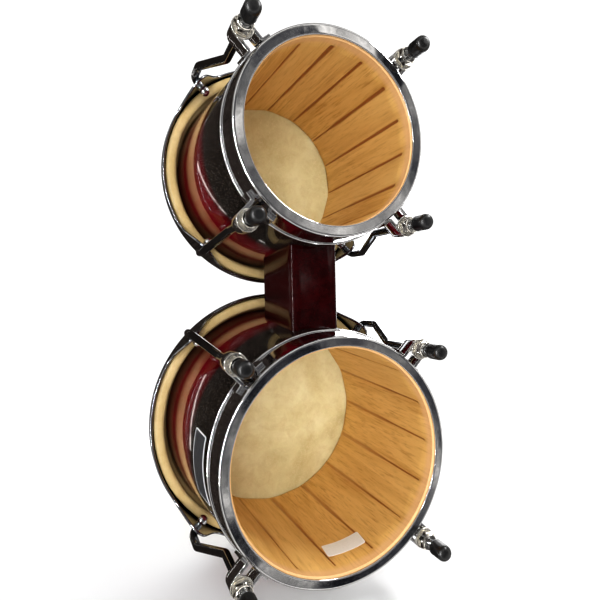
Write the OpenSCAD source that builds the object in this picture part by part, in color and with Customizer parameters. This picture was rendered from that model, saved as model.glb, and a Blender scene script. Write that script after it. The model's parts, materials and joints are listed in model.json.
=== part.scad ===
// Bongo drums: two stave shells joined by a wooden block, heads up, standing on the rubber tips
// of their tuning rods. Millimetres, +Z up. X runs from the large drum to the small drum.
// The origin is on the floor, under the middle of the overall length.

/* [Layout] */
// Distance between the two drum axes
axis_gap = 240; // [200:1:280]
// Height of the bottom rings over the floor
ring_z = 20; // [16:0.5:30]
// Height from the bottom ring to the bearing edge of a shell
shell_h = 161; // [140:1:190]
// Staves in each shell
staves = 16; // [12:1:24]
// Width of a glue line between two staves
glue_line = 0.2; // [0.1:0.05:0.4]
// How far the side of a shell bulges
belly = 1.0; // [0:0.1:3]

/* [Large drum] */
// Outer radius of the shell at its bottom
large_foot_r = 90; // [70:0.5:110]
// Outer radius of the shell at its bearing edge
large_edge_r = 107.5; // [90:0.5:125]
// Thickness of the shell at its bottom
large_foot_wall = 8; // [6:0.5:12]
// Radius of the hole in the bottom ring
large_ring_hole_r = 84.2; // [70:0.1:100]
// Outer radius of the counterhoop
large_hoop_r = 123.5; // [110:0.5:140]
// Angle of the first glue line, in degrees
large_stave_turn = 0; // [0:0.5:22]

/* [Small drum] */
// Outer radius of the shell at its bottom
small_foot_r = 74.6; // [60:0.2:90]
// Outer radius of the shell at its bearing edge
small_edge_r = 90.3; // [75:0.1:105]
// Thickness of the shell at its bottom
small_foot_wall = 8; // [6:0.5:12]
// Radius of the hole in the bottom ring
small_ring_hole_r = 68; // [55:0.1:80]
// Outer radius of the counterhoop
small_hoop_r = 106.1; // [90:0.1:120]
// Angle of the first glue line, in degrees
small_stave_turn = 5; // [0:0.5:22]

/* [Shell details] */
// Thickness of a shell at its bearing edge, before the inner slope
edge_wall = 15; // [10:0.5:18]
// Width of the inner slope of the bearing edge
edge_slope = 3; // [1:0.5:6]
// Depth of the turned lip inside the bottom opening
lip_depth = 12; // [6:0.5:20]
// Step between the turned lip and the staves
lip_step = 0.7; // [0.3:0.1:1.5]

/* [Bottom ring] */
// Sheet thickness of the ring
ring_t = 1.7; // [1:0.1:3]
// Height of the side band of the ring
band_h = 21.5; // [12:0.5:30]
// Radius of the rolled bead on top of the side band
bead_r = 1.3; // [0.8:0.1:2]

/* [Lugs] */
// Distance from the outside of the bottom ring to a rod axis
lug_reach = 16.3; // [13:0.1:20]
// Height of the lug strap
strap_h = 12; // [8:0.5:20]
// Height of the strap over the bottom of the ring
strap_z = 8; // [4:0.5:15]
// Thickness of the strap
strap_t = 2.7; // [1.5:0.1:4]
// Inner radius of the strap's bend
strap_r = 5.3; // [4.5:0.1:8]
// Half of the length of a lug's foot along the ring
lug_foot = 13.5; // [9:0.5:20]
// Outer radius of the lug washer
washer_r = 8.3; // [7:0.1:10]
// Thickness of the lug washer
washer_t = 1.8; // [1:0.1:3]

/* [Tuning rods] */
// Diameter of a rod
rod_d = 7; // [5:0.5:9]
// Height of the hole in a hoop ear over the bottom ring
ear_hole_z = 118; // [105:1:130]
// Height of the upper bend of a rod over the bottom ring
upper_bend_z = 94; // [80:1:105]
// Height of the lower bend of a rod over the bottom ring
lower_bend_z = 51; // [35:1:65]
// Distance from the counterhoop's outside to the axis of a rod
rod_standoff = 4.6; // [4:0.1:8]
// Radius of the bends along a rod's axis
rod_bend = 8; // [5:0.5:12]
// How far a rod's hooked end reaches in from the counterhoop's outside
hook_in = 5.2; // [4:0.1:8]
// Width across the flats of a tuning nut
nut_af = 12.5; // [10:0.5:15]
// Height of a tuning nut
nut_h = 6.9; // [5:0.1:10]
// Outer radius of a rubber tip
tip_r = 6; // [4.5:0.1:7]
// Thickness of the rubber under a rod's end
tip_floor = 4.5; // [3:0.5:8]
// Gap between a nut and the rubber tip below it
tip_gap = 5.5; // [0.5:0.5:8]
// Radius of the ball on the hooked end of a rod
ball_r = 4.4; // [4:0.1:6]

/* [Counterhoop] */
// Height of the hoop's top over the bottom ring
hoop_top_z = 146.5; // [140:0.5:152]
// Height of the hoop's wall between two ears
hoop_wall_h = 12.5; // [9:0.5:18]
// Sheet thickness of the hoop
hoop_t = 2.4; // [1.5:0.1:4]
// How far the top flange of the hoop reaches inward
hoop_flange = 12; // [9:0.5:14]
// Radius of the hoop's rolled top corner
hoop_corner = 3.4; // [2.5:0.1:5]
// How far an ear hangs below the hoop's wall
ear_drop = 28; // [15:1:40]
// Half of the width of an ear where it leaves the hoop
ear_half = 35; // [20:1:45]

/* [Skins] */
// Thickness of the rawhide
skin_t = 1.4; // [1:0.1:2.5]
// Size of the skin-wrapped flesh hoop's section
flesh_w = 9.4; // [7:0.1:11]
// Radius of the corners of the flesh hoop's section
flesh_round = 2.4; // [1:0.1:4]
// Gap between the flesh hoop and the counterhoop's wall
flesh_gap = 1.2; // [0.5:0.1:2]

/* [Centre block] */
// Height of the block's bottom over the bottom ring
block_z = 40; // [25:1:60]
// Height of the block
block_h = 68; // [40:1:90]
// Width of the block
block_w = 40.5; // [25:0.5:50]
// Radius of the block's long edges
block_edge = 2.5; // [1:0.5:6]
// Diameter of a block bolt
bolt_d = 6; // [5:0.5:8]
// Distance from the middle of the block's height to a bolt
bolt_step = 17; // [10:1:25]
// Depth of a bolt in the block, from the bearing edge's radius
bolt_reach = 20; // [12:1:24]
// Thickness of a backing plate
plate_t = 2; // [1:0.5:4]
// Half of the width of the large drum's backing plate, in degrees
plate_half = 15; // [8:1:20]

/* [Labels] */
// Thickness of a label
label_t = 0.3; // [0.1:0.1:0.5]
// Width of the label inside the large drum
inner_label_w = 33; // [20:1:50]
// Height of the label inside the large drum
inner_label_h = 17; // [10:1:30]
// Angle of the inner label round the drum
inner_label_turn = 168.5; // [0:0.5:360]
// Height of the inner label's middle over the bottom ring
inner_label_z = 32.5; // [30:0.5:45]
// Tilt of the inner label, rising with the angle round the drum
inner_label_tilt = 6.5; // [-15:0.5:15]
// Width of the label outside the large drum
outer_label_w = 54; // [30:1:70]
// Height of the label outside the large drum
outer_label_h = 23; // [10:1:30]
// Angle of the outer label round the drum
outer_label_turn = 267; // [0:0.5:360]
// Height of the outer label's middle over the bottom ring
outer_label_z = 48.5; // [45:0.5:75]
// Tilt of the outer label, rising with the angle round the drum
outer_label_tilt = -4.5; // [-20:0.5:20]

/* [Hidden] */
BIG = 0;
SMALL = 1;
foot_r = [large_foot_r, small_foot_r];
edge_r = [large_edge_r, small_edge_r];
foot_wall = [large_foot_wall, small_foot_wall];
ring_hole_r = [large_ring_hole_r, small_ring_hole_r];
hoop_r = [large_hoop_r, small_hoop_r];
stave_turn = [large_stave_turn, small_stave_turn];
mid_x = (large_hoop_r - small_hoop_r) / 2;
axis_x = [mid_x - axis_gap / 2, mid_x + axis_gap / 2];
block_side = [0, 180];
// Gaps: glued or painted joints, seated metal, a rod in its holes
fit = 0.05;
ring_gap = 0.1;
seat = 0.02;
rod_play = 0.4;
edge_round = 3;
ring_r = [foot_r[BIG] + ring_t + ring_gap, foot_r[SMALL] + ring_t + ring_gap];
rod_r = rod_d / 2;
lug_r = [ring_r[BIG] + lug_reach, ring_r[SMALL] + lug_reach];
lug_angles = [45, 135, 225, 315];
nut_top = strap_z - washer_t - ring_gap;
tip_top = nut_top - nut_h - tip_gap;
tip_low = -ring_z;
rod_low = tip_low + tip_floor;
band_low = 4;
bolt_z = [block_z + block_h / 2 - bolt_step, block_z + block_h / 2 + bolt_step];
fine = 96;
wood_red = [0.33, 0.03, 0.05];
chrome = [0.72, 0.73, 0.75];
hide = [0.88, 0.80, 0.60];
rubber = [0.05, 0.05, 0.05];
paper = [0.85, 0.85, 0.83];

// Outer and inner radius of a shell's wall, z above the bottom ring
function wall_out(d, z) =
    foot_r[d] + (edge_r[d] - foot_r[d]) * z / shell_h + belly * sin(180 * z / shell_h);
function wall_in(d, z) =
    foot_r[d] - foot_wall[d]
    + (edge_r[d] - edge_wall - foot_r[d] + foot_wall[d]) * z / shell_h;
// Outer radius of the bottom ring's band
function band_out(d, z) = wall_out(d, z) + ring_gap + ring_t;
function steps(low, high, count) = [for (i = [0:count]) low + (high - low) * i / count];
function arc(x, y, r, from, to, count) =
    [for (i = [0:count]) [x + r * cos(from + (to - from) * i / count),
                          y + r * sin(from + (to - from) * i / count)]];

module at_drum(d) {
    translate([axis_x[d], 0, ring_z]) children();
}

module at_lug(angle) {
    rotate([0, 0, angle]) children();
}

// Round bar through corner points in the XZ plane, its corners bent to the given radius
module bent_bar(points, r, bend) {
    last = len(points) - 1;
    dirs = [for (i = [0:last - 1])
        atan2(points[i + 1][1] - points[i][1], points[i + 1][0] - points[i][0])];
    turns = [for (i = [1:last - 1]) dirs[i] - dirs[i - 1]];
    cuts = [for (i = [0:last])
        i == 0 || i == last ? 0 : bend * tan(abs(turns[i - 1]) / 2)];
    lap = 0.8;
    bend_r = r + 0.1;
    rotate([90, 0, 0]) {
        for (i = [0:last - 1]) {
            from = i == 0 ? 0 : cuts[i] - lap;
            to = i == last - 1 ? 0 : cuts[i + 1] - lap;
            translate([points[i][0] + from * cos(dirs[i]),
                       points[i][1] + from * sin(dirs[i]), 0])
                rotate([0, 0, dirs[i]])
                    rotate([0, 90, 0])
                        cylinder(h = norm(points[i + 1] - points[i]) - from - to, r = r, $fn = 32);
        }
        for (i = [1:last - 1]) {
            side = turns[i - 1] > 0 ? 1 : -1;
            start = [points[i][0] - cuts[i] * cos(dirs[i - 1]),
                     points[i][1] - cuts[i] * sin(dirs[i - 1])];
            hub = [start[0] - side * bend * sin(dirs[i - 1]),
                   start[1] + side * bend * cos(dirs[i - 1])];
            from = side > 0 ? dirs[i - 1] - 90 : dirs[i] + 90;
            translate([hub[0], hub[1], 0])
                rotate([0, 0, from])
                    rotate_extrude(angle = abs(turns[i - 1]), $fn = fine)
                        translate([bend, 0]) circle(r = bend_r, $fn = 32);
        }
    }
}

// Section of a shell's wall with bearing edge and turned lip
module shell_section(d) {
    low = ring_t + fit;
    slope_z = shell_h - edge_slope;
    round_z = shell_h - edge_round;
    in_top = wall_in(d, slope_z);
    foot_bevel = 1.2;
    polygon(concat(
        [for (z = steps(low, round_z, 8)) [wall_out(d, z), z]],
        arc(wall_out(d, round_z) - edge_round, round_z, edge_round, 0, 90, 4),
        [[in_top + edge_slope, shell_h], [in_top, slope_z]],
        [[wall_in(d, lip_depth + lip_step), lip_depth + lip_step]],
        [[wall_in(d, lip_depth) + lip_step, lip_depth]],
        [[wall_in(d, low) + lip_step, low + foot_bevel],
         [wall_in(d, low) + lip_step + foot_bevel, low]]
    ));
}

// Clearance holes for the block bolts, in the drum's own frame
module bolt_holes(d) {
    for (z = bolt_z)
        translate([0, 0, z])
            rotate([0, 90, block_side[d]])
                cylinder(h = edge_r[d] + 10, r = bolt_d / 2 + 0.3, $fn = 32);
}

module shell(d) {
    step = 360 / staves;
    gap = glue_line / foot_r[d] * 180 / PI;
    at_drum(d) difference() {
        for (i = [0:staves - 1]) {
            rotate([0, 0, stave_turn[d] + i * step + gap / 2])
                rotate_extrude(angle = step - gap, $fn = fine) shell_section(d);
        }
        bolt_holes(d);
    }
}

// Angle ring round the bottom edge of a shell, with a rolled bead on its band
module bottom_ring(d) {
    k = 1.8;
    ease = 0.6;
    hole = ring_hole_r[d];
    at_drum(d) rotate_extrude($fn = fine) {
        polygon(concat(
            [[hole + ease, 0]],
            arc(ring_r[d] - k, k, k, -90, 0, 5),
            [for (z = steps(band_low, band_h, 3)) [band_out(d, z), z]],
            [for (z = steps(band_h, ring_t, 3)) [wall_out(d, z) + ring_gap, z]],
            [[hole + ease, ring_t], [hole, ring_t - ease], [hole, ease]]
        ));
        translate([wall_out(d, band_h) + ring_gap + fit + bead_r, band_h])
            circle(r = bead_r, $fn = 24);
    }
}

// Outside of the ring's band, to trim the lug straps against
module ring_outside(d, grow) {
    rotate([0, 0, 180]) translate([0, 0, band_low])
        cylinder(h = band_h - band_low, r1 = band_out(d, band_low) + grow,
                 r2 = band_out(d, band_h) + grow, $fn = fine);
}

// U-shaped straps with welded feet
module lugs(d) {
    outer = strap_r + strap_t;
    foot_half = lug_foot / ring_r[d] * 180 / PI;
    foot_t = 3.4;
    root = 4;
    inset = 0.4;
    at_drum(d) for (a = lug_angles) at_lug(a) {
        difference() {
            union() {
                translate([0, 0, strap_z]) linear_extrude(height = strap_h)
                    polygon(concat([[ring_r[d] - root, -outer]],
                                   arc(lug_r[d], 0, outer, -90, 90, 20),
                                   [[ring_r[d] - root, outer]]));
                rotate([0, 0, -foot_half])
                    rotate_extrude(angle = 2 * foot_half, $fn = fine)
                        translate([ring_r[d] - root, strap_z + inset])
                            square([root + foot_t, strap_h - 2 * inset]);
            }
            translate([0, 0, strap_z - 1]) linear_extrude(height = strap_h + 2)
                polygon(concat([[ring_r[d] - 2 * root, -strap_r]],
                               arc(lug_r[d], 0, strap_r, -90, 90, 20),
                               [[ring_r[d] - 2 * root, strap_r]]));
            ring_outside(d, seat);
        }
    }
}

module lug_washers(d) {
    at_drum(d) for (a = lug_angles) at_lug(a) {
        translate([lug_r[d], 0, strap_z - washer_t]) difference() {
            cylinder(h = washer_t - seat, r = washer_r, $fn = 48);
            translate([0, 0, -1]) cylinder(h = washer_t + 2, r = rod_r + rod_play, $fn = 32);
        }
    }
}

// Head membrane and its collar, down to the flesh hoop
module skin(d) {
    r = edge_r[d];
    low = hoop_top_z - hoop_t + 0.2;
    collar_z = shell_h - 6;
    collar_r = r + 0.25;
    flare = 1.2;
    k = edge_round + fit;
    hub = [r - edge_round + fit, shell_h - edge_round];
    at_drum(d) rotate_extrude($fn = fine)
        polygon(concat(
            [[0, shell_h + fit]],
            arc(hub[0], hub[1], k, 90, 0, 4),
            [[collar_r, collar_z], [r + flare, low], [r + flare + skin_t, low]],
            [[collar_r + skin_t, collar_z]],
            arc(hub[0], hub[1], k + skin_t, 0, 90, 5),
            [[0, shell_h + fit + skin_t]]
        ));
}

// A shell's outside as a solid, a little larger, to hollow the block with
module shell_outside(d, grow) {
    end = 5;
    at_drum(d) rotate_extrude($fn = fine)
        polygon(concat(
            [[0, end]],
            [for (z = steps(end, shell_h - end, 8)) [wall_out(d, z) + grow, z]],
            [[0, shell_h - end]]
        ));
}

// Wooden block, its ends hollowed to the two shells
module centre_block() {
    long = axis_gap - foot_r[BIG] - foot_r[SMALL] + 20;
    mid = mid_x + (foot_r[BIG] - foot_r[SMALL]) / 2;
    hy = block_w / 2;
    e = block_edge;
    difference() {
        translate([mid - long / 2, 0, ring_z + block_z]) {
            translate([0, -hy + e, 0]) cube([long, block_w - 2 * e, block_h]);
            translate([0, -hy, e]) cube([long, block_w, block_h - 2 * e]);
            for (y = [-hy + e, hy - e])
                for (z = [e, block_h - e])
                    translate([0, y, z]) rotate([0, 90, 0]) cylinder(h = long, r = e, $fn = 32);
        }
        for (d = [BIG, SMALL]) {
            shell_outside(d, fit);
            for (z = bolt_z)
                translate([axis_x[d], 0, ring_z + z])
                    rotate([0, 90, block_side[d]])
                        cylinder(h = edge_r[d] + bolt_reach + 2, r = bolt_d / 2 + fit, $fn = 32);
        }
    }
}

// Curved steel plate inside a shell, behind the block
module backing_plate(d) {
    margin = 6;
    low = block_z + margin;
    high = block_z + block_h - margin;
    half = plate_half * foot_r[BIG] / foot_r[d];
    at_drum(d) difference() {
        rotate([0, 0, block_side[d] - half])
            rotate_extrude(angle = 2 * half, $fn = fine)
                polygon([
                    [wall_in(d, low) - fit, low], [wall_in(d, high) - fit, high],
                    [wall_in(d, high) - fit - plate_t, high], [wall_in(d, low) - fit - plate_t, low]
                ]);
        bolt_holes(d);
    }
}

module block_bolts(d) {
    head_r = 7;
    head_h = 4.4;
    under_head = plate_t + 1;
    at_drum(d) for (z = bolt_z) {
        translate([0, 0, z]) rotate([0, 0, block_side[d]])
            translate([wall_in(d, z) - under_head, 0, 0]) {
                rotate([0, 90, 0])
                    cylinder(h = edge_r[d] + bolt_reach - wall_in(d, z), r = bolt_d / 2, $fn = 32);
                rotate([0, -90, 0]) rotate_extrude($fn = 48)
                    polygon([[0, 0], [head_r, 0], [head_r, 1.2], [5.6, 3], [3.2, 4.1], [0, head_h]]);
            }
    }
}

// Blank paper label cut from a strip that follows the large drum's wall
module label(turn, z, tilt, width, height) {
    at_drum(BIG) intersection() {
        children();
        rotate([0, 0, turn]) translate([foot_r[BIG], 0, z]) rotate([tilt, 0, 0])
            cube([40, width, height], center = true);
    }
}

module inner_label() {
    low = inner_label_z - inner_label_h;
    high = inner_label_z + inner_label_h;
    near = 0.03;
    label(inner_label_turn, inner_label_z, inner_label_tilt, inner_label_w, inner_label_h)
        rotate_extrude($fn = fine)
            polygon([
                [wall_in(BIG, low) - near, low], [wall_in(BIG, high) - near, high],
                [wall_in(BIG, high) - near - label_t, high],
                [wall_in(BIG, low) - near - label_t, low]
            ]);
}

module outer_label() {
    low = outer_label_z - outer_label_h;
    high = outer_label_z + outer_label_h;
    near = 0.03;
    label(outer_label_turn, outer_label_z, outer_label_tilt, outer_label_w, outer_label_h)
        rotate_extrude($fn = fine)
            polygon(concat(
                [for (z = steps(low, high, 4)) [wall_out(BIG, z) + near, z]],
                [for (z = steps(high, low, 4)) [wall_out(BIG, z) + near + label_t, z]]
            ));
}

// Outline of a hoop ear, drawn flat: wide at the hoop and narrowing to a round tip
module ear_outline() {
    lift = hoop_top_z - hoop_wall_h;
    lap = 5;
    narrowing = 1.25;
    polygon(concat(
        [[-ear_half, lift + lap]],
        [for (u = steps(-1, 1, 24))
            [ear_half * u, lift + 0.2 - ear_drop * pow(0.5 + 0.5 * cos(180 * u), narrowing)]],
        [[ear_half, lift + lap]]
    ));
}

// Pressed steel counterhoop with four ears in one piece
module counterhoop(d) {
    r = hoop_r[d];
    low = hoop_top_z - hoop_wall_h;
    inside = r - hoop_flange;
    k = hoop_corner;
    at_drum(d) {
        rotate_extrude($fn = fine)
            polygon(concat(
                [[r - hoop_t, low], [r, low]],
                arc(r - k, hoop_top_z - k, k, 0, 90, 5),
                [[inside, hoop_top_z], [inside, hoop_top_z - hoop_t]],
                [[r - hoop_t, hoop_top_z - hoop_t]]
            ));
        difference() {
            intersection() {
                rotate_extrude($fn = fine)
                    translate([r - hoop_t, low - ear_drop - 1])
                        square([hoop_t, ear_drop + 5]);
                union() for (a = lug_angles) at_lug(a)
                    translate([r - 15, 0, 0])
                        rotate([90, 0, 90])
                            linear_extrude(height = 20) ear_outline();
            }
            for (a = lug_angles) at_lug(a)
                translate([r - 12, 0, ear_hole_z])
                    rotate([0, 90, 0]) cylinder(h = 24, r = rod_r + rod_play, $fn = 32);
        }
    }
}

// Wooden flesh hoop wrapped in the turned-up edge of the skin
module flesh_hoop(d) {
    high = hoop_top_z - hoop_t - fit;
    r = hoop_r[d] - hoop_t - flesh_gap - flesh_w;
    k = flesh_round;
    at_drum(d) rotate_extrude($fn = fine) {
        translate([r + k, high - flesh_w]) square([flesh_w - 2 * k, flesh_w]);
        translate([r, high - flesh_w + k]) square([flesh_w, flesh_w - 2 * k]);
        for (x = [r + k, r + flesh_w - k])
            for (y = [high - flesh_w + k, high - k])
                translate([x, y]) circle(r = k, $fn = 24);
    }
}

module rods(d) {
    top_r = hoop_r[d] + rod_standoff;
    at_drum(d) for (a = lug_angles) at_lug(a)
        bent_bar([
            [hoop_r[d] - hook_in, ear_hole_z], [top_r, ear_hole_z], [top_r, upper_bend_z],
            [lug_r[d], lower_bend_z], [lug_r[d], rod_low]
        ], rod_r, rod_bend);
}

// Ball on a rod's hooked end, flat where the end meets it
module rod_balls(d) {
    flat = 0.8;
    near = 0.2;
    at_drum(d) for (a = lug_angles) at_lug(a)
        translate([hoop_r[d] - hook_in - near - ball_r + flat, 0, ear_hole_z])
            rotate([0, 90, 0]) difference() {
                sphere(r = ball_r, $fn = 32);
                translate([0, 0, ball_r - flat]) cylinder(h = ball_r, r = ball_r, $fn = 32);
            }
}

module rubber_tips(d) {
    k = 4.5;
    bevel = 0.8;
    at_drum(d) for (a = lug_angles) at_lug(a)
        translate([lug_r[d], 0, 0]) rotate_extrude($fn = 48)
            polygon(concat(
                [[0, tip_low]],
                arc(tip_r - k, tip_low + k, k, -90, 0, 6),
                [[tip_r, tip_top - bevel], [tip_r - bevel, tip_top], [rod_r + fit, tip_top]],
                [[rod_r + fit, rod_low - 2 * fit], [0, rod_low - 2 * fit]]
            ));
}

// Hexagon nut with a chamfered seat and a short collar below
module nut(d, k) {
    flat_r = nut_af / 2;
    widest = flat_r + 1.2;
    collar_h = 1.4;
    hex_z = 1.2;
    at_drum(d) at_lug(lug_angles[k]) translate([lug_r[d], 0, nut_top - nut_h]) difference() {
        union() {
            intersection() {
                translate([0, 0, hex_z]) cylinder(h = nut_h - hex_z, r = flat_r / cos(30), $fn = 6);
                rotate_extrude($fn = 48)
                    polygon([
                        [0, 0], [flat_r - 0.1, 0], [widest, hex_z + 1],
                        [widest, nut_h - 1], [flat_r - 0.1, nut_h], [0, nut_h]
                    ]);
            }
            cylinder(h = collar_h, r = flat_r - 0.3, $fn = 48);
        }
        translate([0, 0, -1]) cylinder(h = nut_h + 2, r = rod_r + 0.06, $fn = 32);
    }
}

module shell_large() { color(wood_red) shell(BIG); }
module shell_small() { color(wood_red) shell(SMALL); }
module bottom_ring_large() { color(chrome) bottom_ring(BIG); }
module bottom_ring_small() { color(chrome) bottom_ring(SMALL); }
module lugs_large() { color(chrome) lugs(BIG); }
module lugs_small() { color(chrome) lugs(SMALL); }
module lug_washers_large() { color(chrome) lug_washers(BIG); }
module lug_washers_small() { color(chrome) lug_washers(SMALL); }
module skin_large() { color(hide) skin(BIG); }
module skin_small() { color(hide) skin(SMALL); }
module wood_block() { color(wood_red) centre_block(); }
module backing_plate_large() { color(chrome) backing_plate(BIG); }
module backing_plate_small() { color(chrome) backing_plate(SMALL); }
module block_bolts_large() { color(chrome) block_bolts(BIG); }
module block_bolts_small() { color(chrome) block_bolts(SMALL); }
module label_in() { color(paper) inner_label(); }
module label_out() { color(paper) outer_label(); }
module counterhoop_large() { color(chrome) counterhoop(BIG); }
module counterhoop_small() { color(chrome) counterhoop(SMALL); }
module flesh_hoop_large() { color(hide) flesh_hoop(BIG); }
module flesh_hoop_small() { color(hide) flesh_hoop(SMALL); }
module rods_large() { color(chrome) rods(BIG); }
module rods_small() { color(chrome) rods(SMALL); }
module rod_balls_large() { color(chrome) rod_balls(BIG); }
module rod_balls_small() { color(chrome) rod_balls(SMALL); }
module rubber_tips_large() { color(rubber) rubber_tips(BIG); }
module rubber_tips_small() { color(rubber) rubber_tips(SMALL); }
module nut_large(k) { color(chrome) nut(BIG, k); }
module nut_small(k) { color(chrome) nut(SMALL, k); }

shell_large();
shell_small();
bottom_ring_large();
bottom_ring_small();
lugs_large();
lugs_small();
lug_washers_large();
lug_washers_small();
skin_large();
skin_small();
wood_block();  // centre_block
backing_plate_large();
backing_plate_small();
block_bolts_large();
block_bolts_small();
label_in();  // inner_label
label_out();  // outer_label
counterhoop_large();
counterhoop_small();
flesh_hoop_large();
flesh_hoop_small();
rods_large();
rods_small();
rod_balls_large();
rod_balls_small();
rubber_tips_large();
rubber_tips_small();
nut_large(0);  // nut_large_1
nut_large(1);  // nut_large_2
nut_large(2);  // nut_large_3
nut_large(3);  // nut_large_4
nut_small(0);  // nut_small_1
nut_small(1);  // nut_small_2
nut_small(2);  // nut_small_3
nut_small(3);  // nut_small_4
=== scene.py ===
"""Bongo drums: the looks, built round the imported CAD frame.

Metres, +Z up, heads up, standing on the rubber tips; +X runs from the large drum to the small one.
"""
import json
import math
import random

import bmesh
import bpy
from mathutils import Matrix, Vector, noise


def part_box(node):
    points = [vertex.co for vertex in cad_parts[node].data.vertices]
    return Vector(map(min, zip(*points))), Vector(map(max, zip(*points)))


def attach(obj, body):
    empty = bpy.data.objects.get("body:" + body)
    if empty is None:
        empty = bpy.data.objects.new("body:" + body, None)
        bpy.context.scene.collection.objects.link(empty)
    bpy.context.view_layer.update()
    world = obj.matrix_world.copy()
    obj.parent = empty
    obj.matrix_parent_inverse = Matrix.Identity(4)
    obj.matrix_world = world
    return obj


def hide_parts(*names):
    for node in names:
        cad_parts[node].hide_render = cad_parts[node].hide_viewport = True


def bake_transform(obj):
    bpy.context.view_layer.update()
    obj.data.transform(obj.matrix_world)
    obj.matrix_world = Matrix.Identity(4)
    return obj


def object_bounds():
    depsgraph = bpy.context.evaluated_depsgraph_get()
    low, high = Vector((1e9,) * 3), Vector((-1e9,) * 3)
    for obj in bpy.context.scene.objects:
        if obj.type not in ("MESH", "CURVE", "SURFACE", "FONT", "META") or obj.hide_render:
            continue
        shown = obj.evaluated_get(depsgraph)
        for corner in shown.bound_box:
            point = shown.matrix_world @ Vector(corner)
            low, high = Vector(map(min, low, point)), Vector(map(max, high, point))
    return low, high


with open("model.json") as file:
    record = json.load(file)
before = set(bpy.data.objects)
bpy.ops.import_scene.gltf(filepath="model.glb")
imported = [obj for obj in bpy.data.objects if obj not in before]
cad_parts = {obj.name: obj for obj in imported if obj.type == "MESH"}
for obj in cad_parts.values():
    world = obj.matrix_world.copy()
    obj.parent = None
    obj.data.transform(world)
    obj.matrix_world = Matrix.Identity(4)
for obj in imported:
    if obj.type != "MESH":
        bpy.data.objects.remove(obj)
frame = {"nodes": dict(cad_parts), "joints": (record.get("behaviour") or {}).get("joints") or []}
cad_box = [list(corner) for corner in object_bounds()]

MM = 0.001
LUG_ANGLES = (45, 135, 225, 315)
STAVES = 16
STAVE_STEP = 360 / STAVES
TURN_COLUMNS = 192

# Shells
FOOT_WALL = 8 * MM
EDGE_WALL = 15 * MM
EDGE_ROUND = 3 * MM
BELLY = 1 * MM
LIP_DEPTH = 12 * MM
FOOT_BEVEL = 1.2 * MM
GLUE_DEPTH = 0.9 * MM

# Bottom rings and lugs
RING_SHEET = 1.7 * MM
RING_GAP = 0.1 * MM
BEAD_R = 1.3 * MM
STRAP_T = 2.7 * MM
STRAP_R = 5.3 * MM
LUG_FOOT = 13.5 * MM
WASHER_R = 8.3 * MM
NUT_FLATS = 12.5 * MM

# Tuning rods, with the heights of their bends over the bottom ring
ROD_R = 3.5 * MM
ROD_BEND = 8 * MM
UPPER_BEND = 94 * MM
LOWER_BEND = 51 * MM
HOOK_IN = 5.2 * MM
BALL_R = 4.4 * MM
THREAD_PITCH = 1.25 * MM
THREAD_DEPTH = 0.45 * MM
THREAD_TOP = 26 * MM
TIP_R = 6 * MM
TIP_ROUND = 4.5 * MM

# Counterhoops and heads
HOOP_SHEET = 2.4 * MM
HOOP_WALL = 12.5 * MM
HOOP_CORNER = 3.4 * MM
EAR_DROP = 28 * MM
EAR_HALF = 35 * MM
EAR_HOLE_R = 3.9 * MM
SKIN_T = 1.2 * MM
SKIN_LIFT = 0.2 * MM
SKIN_BEND = 3.6 * MM
HIDE_ROUND = 3.2 * MM

# Block and labels
BLOCK_EDGE = 2.6 * MM
LABEL_CORNER = 1.5 * MM
LABEL_RIM = 0.9 * MM


# -------- measuring the frame

def radii(node, axis_x, height, reach=0.6 * MM):
    """Distances from a drum's axis of the CAD node's corners near a height, smallest first."""
    points = [v.co for v in frame["nodes"][node].data.vertices if abs(v.co.z - height) < reach]
    return sorted(math.hypot(p.x - axis_x, p.y) for p in points)


def span(node):
    """Lowest and highest z of a CAD node."""
    low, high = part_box(node)
    return low.z, high.z


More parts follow.
